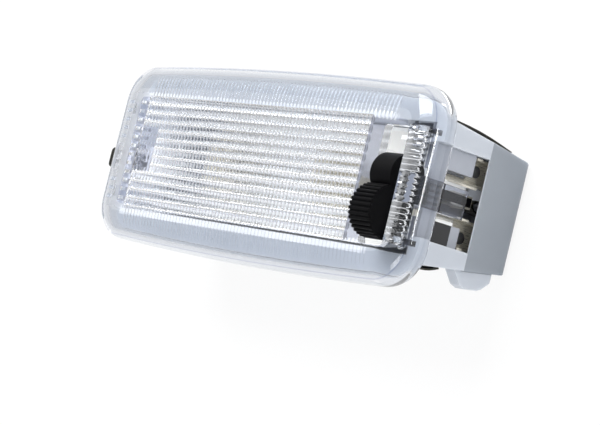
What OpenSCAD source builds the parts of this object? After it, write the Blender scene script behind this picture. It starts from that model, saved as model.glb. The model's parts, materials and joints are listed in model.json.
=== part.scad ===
/* [Lens] */
// Length of the lens
lens_l = 117; // [114:0.5:126]
// Width of the lens at its middle
lens_w = 46; // [44:0.5:54]
// Height of the lens over the panel that it sits on
lens_h = 8; // [7.6:0.2:10]
// Wall of the lens
lens_wall = 2; // [1.6:0.1:2.4]
// How far each long side bows out
lens_bow = 1.4; // [0.8:0.1:2.4]
// Radius of the corners of the lens
lens_corner = 9.5; // [8.6:0.1:11]
// Radius of one long flute inside the lens
flute_r = 1.3; // [1.2:0.05:1.5]
// Spacing of the long flutes
flute_pitch = 2.15; // [2:0.05:2.4]
// Number of long flutes
flute_count = 13; // [9:2:13]
// Distance of the flutes from the housing's far end
flute_far_in = 7.9; // [7:0.1:12]
// Distance of the flutes from the middle of the rocker
flute_near_in = 10.1; // [9.5:0.1:16]
// Spacing of the short ribs at the ends of the lens
rib_pitch = 2.2; // [2:0.1:3]
// Depth of the clear tongue under the panel
tongue_d = 10.5; // [6:0.1:11]
// Width of a short rib
rib_w = 0.9; // [0.6:0.1:1.2]
// Spacing of the teeth between the slot and the rim
tooth_pitch = 1.3; // [1.2:0.05:1.6]
// Number of teeth
tooth_count = 20; // [12:1:21]

/* [Housing] */
// How far the lens reaches past each end of the housing
end_over = 4; // [3.6:0.1:5]
// How far the lens reaches past each long side of the housing
side_over = 7; // [6:0.1:7.2]
// Width of the housing beside the window, at its back
pillar_w = 2.2; // [2.1:0.1:3]
// Depth of the housing behind the panel
house_d = 28; // [27.6:0.2:31]
// Wall of the housing
house_wall = 1.6; // [1.3:0.1:1.8]
// Floor of the housing
floor_t = 1.8; // [1.4:0.1:2.2]
// Thickness of the flange that carries the lens
flange_t = 1.5; // [1.2:0.1:1.7]
// Radius of the rounded edges round the back
back_r = 2; // [1:0.1:3]
// How far the ends lean in towards the back
end_lean = 1; // [0.6:0.1:1.6]
// Height of the end wall under the window
sill_h = 13.6; // [12.8:0.1:14.2]
// Height of the bevel inside the window's sill
sill_bevel = 1.6; // [1.4:0.1:2]
// Width of the window in the switch end
window_w = 20.8; // [20.2:0.1:21.6]
// How far the snap tab stands out
tab_out = 4; // [2.5:0.1:5]
// Length of the snap tab along the housing
tab_l = 3; // [2:0.5:5]

/* [Switch] */
// Distance of the rocker's middle from the end of the housing
switch_in = 6.4; // [6.1:0.1:6.9]
// Width of the rocker along the lamp
rocker_w = 6.6; // [6:0.1:6.8]
// Radius of the rocker's ribbed barrel
barrel_r = 6; // [5.5:0.1:6.1]
// Height of the barrel's axis over the panel
barrel_h = 7.2; // [6.6:0.1:7.6]
// Distance of the barrel's axis from the middle line
barrel_y = 6.8; // [6.4:0.1:6.9]
// Number of ribs round the barrel
barrel_ribs = 22; // [14:1:26]
// Radius of the rocker's smooth pad
pad_r = 4.7; // [4.2:0.1:4.9]
// Distance of the pad's axis from the middle line
pad_y = 1.6; // [1.2:0.1:2]
// Height of the pad's axis over the panel
pad_h = 5; // [4.6:0.1:5.3]
// Free length of the slot beside the pad
slot_free = 5.7; // [3:0.1:6]
// Diameter of the rocker's pin
pin_d = 2; // [1.6:0.1:2.4]
// Height of the pin over the panel
pin_h = 1.2; // [0.8:0.1:1.4]
// Distance of the pin from the middle line
pin_y = 1; // [0.6:0.1:1.4]
// Depth of the rocker's stem under the panel
stem_d = 15.5; // [14:0.1:15.8]
// Thickness of the rocker's stem
stem_t = 2; // [1.8:0.1:2.1]
// Thickness of the brass strips
strip_t = 0.5; // [0.4:0.05:0.6]
// Height of the two folded contact strips
contact_h = 11.3; // [10:0.1:11.8]
// Height of the tall lips of the contact strips
lip_h = 18.4; // [16:0.1:18.6]
// Distance of the lips' edges from the middle line
lip_y = 3.3; // [3:0.1:3.6]

/* [Bulb] */
// Length of the bulb over its tips
bulb_l = 41; // [39:0.5:42]
// Diameter of the bulb's glass
bulb_d = 10.5; // [9:0.1:11]
// Length of the bulb's glass
glass_l = 27; // [24:0.5:28]
// Diameter of the bulb's caps
cap_d = 7; // [6:0.1:7.6]
// Distance of the bulb's middle from the far end of the housing
bulb_in = 45.5; // [41:0.5:47]
// Height of the bulb's axis over the back
bulb_z = 15.5; // [14.5:0.1:17]
// Thickness of the reflector
reflector_t = 0.8; // [0.6:0.1:1]

/* [Springs] */
// Width of the retaining clip
clip_w = 5; // [4:0.1:6]
// Thickness of the retaining clip
clip_t = 0.5; // [0.4:0.05:0.6]
// How far the clip's tip stands out of the lens
clip_out = 1.6; // [1:0.1:2]
// Distance of the clip from the middle line
clip_y = 2; // [1.4:0.1:2.4]
// Length of the pocket that holds the clip
pocket_l = 9; // [8:0.1:9.6]
// Thickness of the steel strips along the sides
side_t = 0.4; // [0.3:0.05:0.5]
// How far the steel strips bow out
side_bow = 0.6; // [0.3:0.05:0.8]
// Length of the steel strips along the lamp
side_l = 9; // [7:0.5:12]
// Depth of the upper steel strip under the panel
side_deep_high = 21; // [12:0.5:22]
// Depth of the lower steel strip under the panel
side_deep_low = 8; // [6:0.5:12]

/* [Fits] */
// Gap between parts that seat in each other
seat_gap = 0.2; // [0.15:0.01:0.25]
// Gap round the moving rocker
move_gap = 0.6; // [0.5:0.02:0.65]
// Running clearance of the pin in the rocker, all round
pin_gap = 0.05; // [0.03:0.005:0.08]

/* [Hidden] */
$fn = 48;
eps = 0.01;

// Housing: its size follows the lens and the window
house_l = lens_l - 2 * end_over;
house_w = lens_w - 2 * side_over;
back_w = window_w + 2 * pillar_w;
switch_x = house_l / 2 - switch_in;
flute_far = house_l / 2 - flute_far_in;
flute_near = switch_x - flute_near_in;
bulb_x = house_l / 2 - bulb_in;

// Levels over the back of the housing
seat_z = house_d;
face_in = seat_z + lens_h - lens_wall;
face_out = seat_z + lens_h;
pin_z = seat_z + pin_h;
barrel_z = seat_z + barrel_h;

// Plan outline of the lens: straight ends, bowed sides and round corners that meet them smoothly
bow_r = (pow(lens_l / 2, 2) + pow(lens_bow, 2)) / (2 * lens_bow);
corner_x = lens_l / 2 - lens_corner;
bow_y = lens_w / 2 - bow_r;
corner_y = bow_y + sqrt(pow(bow_r - lens_corner, 2) - pow(corner_x, 2));
bow_a = asin(corner_x / (bow_r - lens_corner));
corner_steps = 8;
side_steps = 6;

function corner_arc(d) = [
    for (i = [0:corner_steps])
        let (a = (90 - bow_a) * i / corner_steps)
        [corner_x + (lens_corner - d) * cos(a), corner_y + (lens_corner - d) * sin(a)]
];
function side_arc(d) = [
    for (i = [1:side_steps - 1])
        let (a = 90 - bow_a + 2 * bow_a * i / side_steps)
        [(bow_r - d) * cos(a), bow_y + (bow_r - d) * sin(a)]
];
function reversed(points) = [for (i = [len(points) - 1:-1:0]) points[i]];
function flipped_x(points) = reversed([for (p = points) [-p[0], p[1]]]);
function turned(points) = [for (p = points) -p];
function half_outline(d) = concat(corner_arc(d), side_arc(d), flipped_x(corner_arc(d)));
function outline(d) = concat(half_outline(d), turned(half_outline(d)));

// Closed skin through a stack of rings, each an inset and a height
module loft(rings) {
    n = len(outline(0));
    points = [for (r = rings) for (p = outline(r[0])) [p[0], p[1], r[1]]];
    walls = [
        for (i = [0:len(rings) - 2])
            for (j = [0:n - 1])
                let (k = (j + 1) % n)
                [i * n + j, (i + 1) * n + j, (i + 1) * n + k, i * n + k]
    ];
    bottom = [[for (j = [0:n - 1]) j]];
    top = [[for (j = [n - 1:-1:0]) (len(rings) - 1) * n + j]];
    polyhedron(points, concat(bottom, walls, top), convexity = 6);
}

// Soft edge of the lens: insets and heights as shares of the lens's height
widest = 0.3;
rim_in = 0.8;
shoulder = lens_corner - 1;
function rim_inset(a) = shoulder * pow(1 - cos(a), 1.6);
function rim_height(a) = lens_h * (widest + (1 - widest) * sin(a));
rim_angles = [for (i = [0:8]) i * 11.25];
function skin_rings(inset, drop) = concat(
    [[inset + rim_in, seat_z]],
    [for (a = rim_angles) [inset + rim_inset(a), seat_z + rim_height(a) - drop * sin(a)]]
);
function core_rings(inset, drop) = concat(
    [[inset + rim_in, seat_z - 1]],
    [for (a = rim_angles)
        [min(inset + rim_inset(a), lens_corner - 0.4), seat_z + rim_height(a) - drop * sin(a)]]
);

// Housing shape: side draft, and ends that lean in below the window
function house_half(z) = back_w / 2 + (house_w - back_w) / 2 * z / house_d;
function house_end(z) = house_l / 2 - end_lean * max(0, sill_h - z) / sill_h;
round_steps = 5;
function round_corner(cx, cy, r, from) = [
    for (i = [0:round_steps])
        let (a = from + 90 * i / round_steps)
        [cx + r * cos(a), cy + r * sin(a)]
];
module across_profile(wall, low, high) {
    r = max(0.4, back_r - wall);
    polygon(concat(
        [[house_half(high) - wall, high], [-house_half(high) + wall, high]],
        round_corner(-house_half(low + r) + wall + r, low + r, r, 180),
        round_corner(house_half(low + r) - wall - r, low + r, r, 270)
    ));
}
module along_profile(wall, low, high) {
    r = max(0.4, back_r - wall);
    polygon(concat(
        [[house_end(sill_h) - wall, sill_h], [house_end(high) - wall, high]],
        [[-house_end(high) + wall, high], [-house_end(sill_h) + wall, sill_h]],
        round_corner(-house_end(low + r) + wall + r, low + r, r, 180),
        round_corner(house_end(low + r) - wall - r, low + r, r, 270)
    ));
}
module tray(wall, low, high) {
    intersection() {
        rotate([90, 0, 90]) translate([0, 0, -house_l]) linear_extrude(2 * house_l)
            across_profile(wall, low, high);
        rotate([90, 0, 0]) translate([0, 0, -house_w]) linear_extrude(2 * house_w)
            along_profile(wall, low, high);
    }
}

// Block between two corners
module block(low, high) {
    translate(low) cube(high - low);
}
// Cylinder along the lamp from x0 to x1
module bar(x0, x1, r, y, z) {
    translate([x0, y, z]) rotate([0, 90, 0]) cylinder(r = r, h = x1 - x0);
}
// Strip of a given thickness along a path of points, drawn on the left of the path
function unit(v) = v / norm(v);
function normal(v) = [-unit(v)[1], unit(v)[0]];
function mitre(p, i, t) =
    i == 0 ? p[0] + normal(p[1] - p[0]) * t
    : i == len(p) - 1 ? p[i] + normal(p[i] - p[i - 1]) * t
    : let (a = normal(p[i] - p[i - 1]), b = normal(p[i + 1] - p[i])) p[i] + (a + b) * t / (1 + a * b);
module strip_2d(path, t) {
    polygon(concat(path, reversed([for (i = [0:len(path) - 1]) mitre(path, i, t)])));
}

// Switch: places shared by the rocker, its slot and its supports
slot_w = rocker_w + 2 * move_gap;
slot_low = barrel_y + barrel_r + 2.2 * move_gap;
slot_high = pad_y + pad_r + slot_free;
slot_r = 1;
rocker_x0 = switch_x - rocker_w / 2;
rocker_x1 = switch_x + rocker_w / 2;
base_t = 2.4;
base_z = floor_t + base_t;
ear_t = 1.1;
ear_gap = 0.3;
ear_x1 = rocker_x1 + ear_gap;
ear_w = 4.4;
ear_top = pin_z + pin_d / 2 + 1.5;
back_ear_t = 2;
ear_x0 = rocker_x0 - ear_gap - back_ear_t;
cheek_in = window_w / 2;
cheek_out = house_half(base_z) - house_wall - 0.2;
bar_z0 = seat_z - 3;
bar_z1 = seat_z;
web_x = switch_x + 1.6;
lip_reach = 3;
flange_y = cheek_in - 0.2 - strip_t;
blade_y = 4.7;
blade_low_y = 3.6;
post_l = 4.2;
block_top = seat_z - 3.4;
block_front = ear_x1 + ear_t;
stem_y = 0.6;
stem_w = rocker_w - 1.6;
leaf_t = 0.4;
leaf_w = 4;
leaf_foot = 3.1;
carrier_x0 = ear_x0 - 2.5;
base_x1 = house_end(0) - house_wall - 0.7;

// Lens: one clear moulding
tongue_t = 1.2;
tongue_x = block_front + seat_gap + 0.2;
tongue_w = 6.4;
tongue_y = -0.8;
hook_t = 0.8;
hook_z = bar_z0 - seat_gap;
end_lug_y = 10.5;
end_lug_w = 3;
lug_d = 5.6;
notch_h = 2.6;
notch_z = seat_z + 2.4;
flange_top = seat_z + seat_gap + flange_t;
tooth_w = tooth_pitch / 2;
rib_count = 12;
rib_h = 0.9;
sink = 0.4;
row_x0 = -house_l / 2 - 1;
row_x1 = -house_l / 2 + house_wall;
post_y = 12;
module flutes() {
    rise = 0.5;
    for (i = [0:flute_count - 1])
        bar(-flute_far, flute_near, flute_r, (i - (flute_count - 1) / 2) * flute_pitch, face_in + rise);
}
module ribs_across(count, pitch, x0, x1, z0, z1) {
    for (i = [0:count - 1])
        let (y = (i - (count - 1) / 2) * pitch)
        block([x0, y - rib_w / 2, z0], [x1, y + rib_w / 2, z1]);
}
module end_ribs() {
    // Teeth between the slot and the rim, which follow the slope of the end
    tooth_x0 = switch_x + slot_w / 2 + 0.6;
    tooth_x1 = lens_l / 2 - lens_wall;
    for (i = [0:tooth_count - 1])
        translate([0, (i - (tooth_count - 1) / 2) * tooth_pitch + tooth_w / 2, 0]) rotate([90, 0, 0])
            linear_extrude(tooth_w) polygon([
                [tooth_x0, face_in - rib_h], [tooth_x1 - 2.1, face_in - 1.5 * rib_h],
                [tooth_x1 - 0.5, face_in - 3 * rib_h], [tooth_x1 - 0.1, face_in - 2 * rib_h],
                [tooth_x1 - 2.5, face_in + sink], [tooth_x0, face_in + sink]
            ]);
    // Two rows of short ribs at the far end; the outer row stands on the flange beside the clip
    ribs_across(rib_count, rib_pitch, -flute_far - 3, -flute_far - 1, face_in - rib_h, face_in + sink);
    ribs_across(rib_count, rib_pitch, row_x0, row_x1, face_in - rib_h, face_in + sink);
    difference() {
        ribs_across(rib_count, rib_pitch, row_x0, row_x1, flange_top, face_in - rib_h + eps);
        block([row_x0 - 1, -clip_y - clip_w / 2 - 1.4, seat_z], [row_x1 + 1, -clip_y + clip_w / 2 + 1.4, face_out]);
    }
    // Posts on the flange at the switch end
    for (sy = [-1, 1])
        block([house_l / 2 - 1.4, sy * post_y - 0.6, flange_top], [house_l / 2 + 0.6, sy * post_y + 0.6, face_in + sink]);
}
module slot_cut() {
    translate([switch_x, 0, face_in - 4]) linear_extrude(8) {
        translate([-slot_w / 2 + slot_r, -slot_low])
            square([slot_w - 2 * slot_r, slot_low + slot_high]);
        translate([-slot_w / 2, -slot_low + slot_r])
            square([slot_w, slot_low + slot_high - 2 * slot_r]);
        for (sx = [-1, 1])
            for (y = [-slot_low + slot_r, slot_high - slot_r])
                translate([sx * (slot_w / 2 - slot_r), y]) circle(slot_r);
    }
}
module lens_tongues() {
    // Clear tongue that snaps under the bar of the switch carrier
    block([tongue_x, tongue_y - tongue_w / 2, seat_z - tongue_d],
          [tongue_x + tongue_t, tongue_y + tongue_w / 2, face_in + 0.3]);
    block([tongue_x - hook_t, tongue_y - tongue_w / 2, hook_z - 1],
          [tongue_x + eps, tongue_y + tongue_w / 2, hook_z]);
    // Two lugs that snap into the far end of the housing
    for (sy = [-1, 1]) {
        x1 = -house_l / 2 + house_wall + seat_gap;
        block([x1, sy * end_lug_y - end_lug_w / 2, seat_z - lug_d],
              [x1 + tongue_t, sy * end_lug_y + end_lug_w / 2, face_in + 0.3]);
        block([x1 - hook_t, sy * end_lug_y - end_lug_w / 2, seat_z - lug_d],
              [x1 + eps, sy * end_lug_y + end_lug_w / 2, seat_z - lug_d + 1]);
    }
}
module lens() color([0.86, 0.88, 0.96, 0.45]) {
    difference() {
        union() {
            difference() {
                loft(skin_rings(0, 0));
                loft(core_rings(lens_wall, lens_wall));
            }
            flutes();
            end_ribs();
            lens_tongues();
        }
        slot_cut();
        block([-lens_l / 2 - 1, -clip_y - clip_w / 2 - move_gap, notch_z],
              [-lens_l / 2 + lens_wall + 1.4, -clip_y + clip_w / 2 + move_gap, notch_z + notch_h]);
    }
}

// Housing: tray with a flange, a window, a snap tab and the clip's pocket
flange_gap = lens_wall + seat_gap + 0.5;
pocket_wall = 1.2;
pocket_w = clip_w + 4;
pocket_x = -house_l / 2 + pocket_l;
clip_pin_r = 0.8;
clip_foot_x = -house_l / 2 + 2.2;
clip_foot_z = floor_t + 1.2 + clip_pin_r + clip_t + pin_gap + 0.4;
tab_low = 4.3;
tab_high = 13.4;
boss_r = 2.1;
screw_d = 2.2;
sill_lip = 0.3;
screw_x = carrier_x0 + 1.6;
screw_y = cheek_in - 2.2;
module flange() {
    translate([0, 0, seat_z + seat_gap]) linear_extrude(flange_t) difference() {
        polygon(outline(flange_gap));
        square([house_l - 2 * house_wall, house_w - 2 * house_wall], center = true);
    }
    // Upper edge of the walls up to the flange
    difference() {
        block([-house_l / 2, -house_w / 2, seat_z - eps], [house_l / 2, house_w / 2, seat_z + seat_gap + eps]);
        block([-house_l / 2 + house_wall, -house_w / 2 + house_wall, seat_z - 1],
              [house_l / 2 - house_wall, house_w / 2 - house_wall, seat_z + 1]);
    }
}
// Profile of the tab: root, lower ramp, flat nose, upper ramp back to the wall
tab_top = 15.3;
tab_ramp = 3.4;
tab_chamfer = 0.8;
function tab_point(z, out) = [-house_half(z) - out, z];
module snap_tab() {
    y0 = 1 - house_half(tab_low + tab_ramp);
    rotate([90, 0, 90]) translate([0, 0, house_l / 2 - end_lean - tab_l]) linear_extrude(tab_l)
        polygon([
            [y0, tab_low], [y0 - tab_out + 1.4, tab_low],
            tab_point(tab_low + tab_ramp - 1.6 * tab_chamfer, tab_out - 0.5 * tab_chamfer),
            tab_point(tab_low + tab_ramp, tab_out), tab_point(tab_high - 2.2, tab_out),
            tab_point(tab_high - 0.5, tab_out - tab_chamfer), tab_point(tab_top, seat_gap),
            [y0, tab_top]
        ]);
}
module pocket_outside() {
    block([-house_l / 2 + 0.5, -clip_y - pocket_w / 2, floor_t - eps],
          [pocket_x, -clip_y + pocket_w / 2, seat_z - 1.5]);
}
module pocket_inside() {
    block([-house_l / 2 - 3, -clip_y - pocket_w / 2 + pocket_wall, floor_t + 1.2],
          [pocket_x - pocket_wall, -clip_y + pocket_w / 2 - pocket_wall, seat_z - 1.5 - pocket_wall]);
}
module housing() color([0.78, 0.80, 0.83]) {
    difference() {
        union() {
            difference() {
                tray(0, 0, seat_z);
                tray(house_wall, floor_t, seat_z + 1);
            }
            flange();
            snap_tab();
            pocket_outside();
            // Pivot moulded across the pocket for the foot of the clip
            translate([clip_foot_x, -clip_y - pocket_w / 2 + 0.5, clip_foot_z]) rotate([-90, 0, 0])
                cylinder(r = clip_pin_r, h = pocket_w - 1);
            for (sy = [-1, 1])
                translate([screw_x, sy * screw_y, 0.5]) cylinder(r = boss_r, h = floor_t - 0.5);
        }
        difference() {
            pocket_inside();
            translate([clip_foot_x, -clip_y - pocket_w / 2, clip_foot_z]) rotate([-90, 0, 0])
                cylinder(r = clip_pin_r, h = pocket_w);
        }
        // Way for the clip's tip through the flange
        block([-lens_l / 2, -clip_y - pocket_w / 2 + pocket_wall, seat_z - 3],
              [-house_l / 2 + 3.6, -clip_y + pocket_w / 2 - pocket_wall, seat_z + 3]);
        // Window in the switch end
        block([house_l / 2 - 3.2, -window_w / 2, sill_h], [house_l / 2 + 9, window_w / 2, seat_z + 5]);
        // Bevel inside the sill
        translate([0, window_w / 2, 0]) rotate([90, 0, 0]) linear_extrude(window_w) polygon([
            [house_l / 2 - sill_lip, sill_h + eps], [house_l / 2 - 3.2, sill_h + eps],
            [house_l / 2 - 3.2, sill_h - sill_bevel * 2], [house_l / 2 - house_wall - eps, sill_h - sill_bevel]
        ]);
        // Holes for the lens's lugs
        for (sy = [-1, 1])
            block([-house_l / 2 - 1, sy * end_lug_y - end_lug_w / 2 - seat_gap, seat_z - lug_d - seat_gap],
                  [-house_l / 2 + 2, sy * end_lug_y + end_lug_w / 2 + seat_gap, seat_z - lug_d + 1.2]);
        // Pilot holes of the carrier's screws
        for (sy = [-1, 1])
            translate([screw_x, sy * screw_y, -1]) cylinder(d = screw_d, h = floor_t + 2);
    }
}

// Reflector: white trough behind the bulb
reflector_x0 = pocket_x + 0.8;
reflector_x1 = carrier_x0 - 1;
reflector_z = base_z - reflector_t;
reflector_top = seat_z - 3;
reflector_slope = (house_half(reflector_top) - house_wall - 0.5 - 7) / (reflector_top - reflector_z);
module reflector_section(t, over) {
    low_half = 7 - t;
    top_half = low_half + reflector_slope * (reflector_top + over - reflector_z);
    polygon([
        [-low_half, reflector_z + t], [low_half, reflector_z + t],
        [top_half, reflector_top + over], [-top_half, reflector_top + over]
    ]);
}
module reflector() color([0.95, 0.95, 0.96]) {
    rotate([90, 0, 90]) translate([0, 0, reflector_x0]) linear_extrude(reflector_x1 - reflector_x0)
        difference() {
            reflector_section(0, 0);
            reflector_section(reflector_t, 1);
        }
    // Standing feet on the floor
    for (x = [reflector_x0 + 4, reflector_x1 - 8])
        block([x, -3, floor_t], [x + 4, 3, reflector_z + 0.2]);
}

// Festoon bulb
cap_l = (bulb_l - glass_l) / 2;
glass_wall = 0.6;
neck = 1.2;
tip_l = 2.4;
tip_r = 1;
module bulb_glass_outline(shrink) {
    r = bulb_d / 2 - shrink;
    straight = glass_l - 2 * bulb_d / 2;
    union() {
        square([r, straight / 2]);
        translate([0, straight / 2]) intersection() {
            circle(r);
            square([r, r]);
        }
    }
}
module bulb_glass() color([0.9, 0.95, 1, 0.3]) {
    translate([-bulb_x, 0, bulb_z]) rotate([0, 90, 0]) difference() {
        union() {
            rotate_extrude() union() {
                bulb_glass_outline(0);
                mirror([0, 1]) bulb_glass_outline(0);
            }
            cylinder(r = cap_d / 2 - neck, h = glass_l + 2 * neck, center = true);
        }
        rotate_extrude() union() {
            bulb_glass_outline(glass_wall);
            mirror([0, 1]) bulb_glass_outline(glass_wall);
        }
    }
}
module bulb_cap() {
    // Cup with a conical tip, built along +X from the glass
    rotate([0, 90, 0]) difference() {
        rotate_extrude() polygon([
            [0, 0], [cap_d / 2, 0], [cap_d / 2, cap_l - tip_l - 0.6], [cap_d / 2 - 0.6, cap_l - tip_l],
            [tip_r, cap_l], [0, cap_l]
        ]);
        translate([0, 0, -1]) cylinder(r = cap_d / 2 - neck, h = 1 + neck);
    }
}
module bulb_cap_right() color([0.8, 0.78, 0.72]) {
    translate([-bulb_x + glass_l / 2, 0, bulb_z]) bulb_cap();
}
module bulb_cap_left() color([0.8, 0.78, 0.72]) {
    translate([-bulb_x - glass_l / 2, 0, bulb_z]) mirror([1, 0, 0]) bulb_cap();
}
module bulb_filament() color([0.35, 0.34, 0.33]) {
    wire_r = 0.25;
    coil_r = 0.6;
    coil_l = 9;
    bar(-bulb_x - coil_l / 2, -bulb_x + coil_l / 2, coil_r, 0, bulb_z);
    bar(-bulb_x - glass_l / 2 + glass_wall, -bulb_x + glass_l / 2 - glass_wall, wire_r, 0, bulb_z);
}

// Sprung holders at the bulb's tips
holder_w = 8;
holder_top = bulb_z + 4.5;
foot_l = 6;
tip_in = 1.2;
// The hole's edge meets the cone of the bulb's tip
hole_r = tip_r + (cap_d / 2 - 0.6 - tip_r) * tip_in / tip_l;
reflector_floor = reflector_z + reflector_t;
module bulb_holder() {
    // Plate with a hole for the tip, and a foot that points away from the bulb
    difference() {
        union() {
            block([bulb_l / 2 - tip_in, -holder_w / 2, reflector_floor],
                  [bulb_l / 2 - tip_in + strip_t, holder_w / 2, holder_top]);
            block([bulb_l / 2 - tip_in, -holder_w / 2, reflector_floor],
                  [bulb_l / 2 + foot_l, holder_w / 2, reflector_floor + strip_t]);
            // Lead-in lip bent outwards at the top
            translate([bulb_l / 2 - tip_in, 0, holder_top]) rotate([0, 25, 0])
                translate([0, -holder_w / 2, -0.2]) cube([strip_t, holder_w, 2.4]);
        }
        bar(0, bulb_l, hole_r, 0, bulb_z);
    }
}
module bulb_contact_right() color([0.72, 0.66, 0.5]) {
    translate([-bulb_x, 0, 0]) bulb_holder();
}
module bulb_contact_left() color([0.72, 0.66, 0.5]) {
    translate([-bulb_x, 0, 0]) mirror([1, 0, 0]) bulb_holder();
}
feed_w = 5;
feed_x0 = -bulb_x + bulb_l / 2 + foot_l;
module feed_strip() color([0.72, 0.66, 0.5]) {
    z0 = reflector_floor;
    ear_back = ear_x0 - strip_t;
    difference() {
        union() {
            block([feed_x0, -feed_w / 2, z0], [ear_back + strip_t, feed_w / 2, z0 + strip_t]);
            block([ear_back, -pin_y - feed_w / 2, z0], [ear_back + strip_t, feed_w / 2, ear_top]);
        }
        bar(ear_back - 1, ear_back + 2, pin_d / 2 + pin_gap, -pin_y, pin_z);
    }
}

// Rocker: barrel, pad, pivot block and stem in one moulding
rib_r = 0.42;
rib_from = -10;
rib_turn = 225;
module rocker() color([0.06, 0.06, 0.07]) {
    difference() {
        union() {
            bar(rocker_x0, rocker_x1, barrel_r - rib_r, -barrel_y, barrel_z);
            for (i = [0:barrel_ribs - 1])
                let (a = rib_from + rib_turn * i / (barrel_ribs - 1))
                bar(rocker_x0, rocker_x1, rib_r, -barrel_y + (barrel_r - rib_r) * cos(a),
                    barrel_z + (barrel_r - rib_r) * sin(a));
            bar(rocker_x0, rocker_x1, pad_r, pad_y, seat_z + pad_h);
            bar(rocker_x0, rocker_x1, 2.4, -pin_y, pin_z);
            block([rocker_x0, -pin_y - 2.4, pin_z], [rocker_x1, -pin_y + 2.4, face_in]);
            block([switch_x - stem_w / 2, stem_y - stem_t / 2, seat_z - stem_d],
                  [switch_x + stem_w / 2, stem_y + stem_t / 2, pin_z]);
        }
        bar(rocker_x0 - 1, rocker_x1 + 1, pin_d / 2 + pin_gap, -pin_y, pin_z);
    }
}
module rocker_pin() color([0.75, 0.75, 0.76]) {
    bar(ear_x0 - strip_t - 0.6, ear_x1 + ear_t, pin_d / 2, -pin_y, pin_z);
}
// Bright leaf folded round the end of the stem
module moving_contact() color([0.85, 0.8, 0.68]) {
    low = seat_z - stem_d;
    width = 4.4;
    translate([switch_x - width / 2, 0, 0]) rotate([90, 0, 90]) linear_extrude(width) difference() {
        union() {
            translate([stem_y - stem_t / 2 - leaf_t, low - leaf_t]) square([stem_t + 2 * leaf_t, 6.5]);
            for (sy = [-1, 1])
                translate([stem_y + sy * stem_t / 2, low + 1.6]) circle(0.65);
        }
        translate([stem_y - stem_t / 2, low]) square([stem_t, 12]);
    }
}

// Switch carrier: base, cheeks, posts behind the strips, front blocks, ears and the cross bar
post_in = blade_y + strip_t + 0.2;
post_out = cheek_in + eps;
post_x0 = web_x - post_l;
module side_of_carrier(front_low) {
    block([carrier_x0 + 1, cheek_in, base_z - eps], [base_x1, cheek_out, bar_z1]);
    block([base_x1 - eps, cheek_in, sill_h + 0.2], [block_front, cheek_out, bar_z1]);
    block([post_x0, post_in, base_z - eps], [web_x, flange_y - 0.1, block_top]);
    block([post_x0, post_in, base_z + contact_h + 0.3], [web_x, post_out, block_top]);
    block([web_x - eps, post_in + 0.3, front_low], [block_front, post_out, block_top]);
}
// Blind holes that take the feet of the detent leaf
leaf_hole_y = [-2.4, 2.8];
module switch_carrier() color([0.8, 0.82, 0.85]) {
    difference() {
        union() {
            block([carrier_x0, -cheek_out + 0.9, floor_t], [base_x1, cheek_out - 0.9, base_z - eps]);
            block([carrier_x0, -cheek_out, floor_t + 1.2], [base_x1, cheek_out, base_z]);
            side_of_carrier(base_z + contact_h + 0.5);
            mirror([0, 1, 0]) side_of_carrier(base_z + contact_h + 0.5);
            block([ear_x1, -cheek_in - eps, bar_z0], [block_front, cheek_in + eps, bar_z1]);
            block([ear_x1, -pin_y - ear_w / 2, bar_z1 - eps], [block_front, -pin_y + ear_w / 2, ear_top]);
            block([ear_x0, -pin_y - ear_w / 2, base_z - eps],
                  [ear_x0 + back_ear_t, -pin_y + ear_w / 2, ear_top]);
        }
        bar(ear_x0 - 1, block_front + 1, pin_d / 2, -pin_y, pin_z);
        for (sy = [-1, 1])
            translate([screw_x, sy * screw_y, 0]) cylinder(d = screw_d + 0.2, h = base_z + 1);
        // Rivet holes behind the contact strips
        for (sy = [-1, 1])
            bar(web_x + strip_t - rivet_shank, web_x + 1, rivet_r, sy * rivet_y, rivet_z);
        for (y = leaf_hole_y)
            translate([switch_x - 1, y, base_z - 1.4]) cylinder(r = rivet_r, h = 3);
    }
}

// Folded contact strips: web across the lamp, splayed lips towards the window
rivet_r = 0.9;
rivet_y = cheek_in - 3;
rivet_z = base_z + 9.3;
module contact_strip(blade, lip_in) {
    x1 = web_x + lip_reach;
    difference() {
        union() {
            translate([0, 0, base_z]) linear_extrude(contact_h) union() {
                block_2d(web_x, blade, web_x + strip_t, flange_y + strip_t);
                block_2d(web_x, flange_y, x1, flange_y + strip_t);
            }
            // Splayed inner lip, the taller side
            translate([0, 0, base_z]) linear_extrude(lip_h)
                strip_2d([[web_x + strip_t - 0.1, blade], [x1, lip_in]], strip_t);
            // Blade that meets the moving contact
            block([post_x0, blade, base_z], [web_x + strip_t, blade + strip_t, base_z + contact_h + 5]);
        }
        bar(web_x - 1, web_x + 2, rivet_r, rivet_y, rivet_z);
        // Lips end short of the cross bar and the window's sill
        block([house_end(0) - house_wall - 0.4, 0, 0], [house_l, house_w, sill_h + 0.3]);
    }
}
module block_2d(x0, y0, x1, y1) {
    translate([x0, y0]) square([x1 - x0, y1 - y0]);
}
module contact_upper() color([0.66, 0.6, 0.47]) {
    contact_strip(blade_y, lip_y);
}
module contact_lower() color([0.66, 0.6, 0.47]) {
    mirror([0, 1, 0]) contact_strip(blade_low_y, lip_y);
}

// Leaf under the stem with a raised nose
module detent_spring() color([0.7, 0.71, 0.73]) {
    top = seat_z - stem_d - leaf_t - 0.5;
    rise = top - base_z;
    translate([switch_x - leaf_w / 2, 0, base_z]) rotate([90, 0, 90]) linear_extrude(leaf_w)
        strip_2d([
            [leaf_foot, 0], [0.5 * leaf_foot, 0], [0.4 * leaf_foot, rise - 3 * leaf_t],
            [0.2 * leaf_foot, rise - leaf_t], [0, rise - leaf_t], [-0.2 * leaf_foot, rise - 3 * leaf_t],
            [-0.4 * leaf_foot, 0], [-leaf_foot, 0]
        ], -leaf_t);
}

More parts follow.
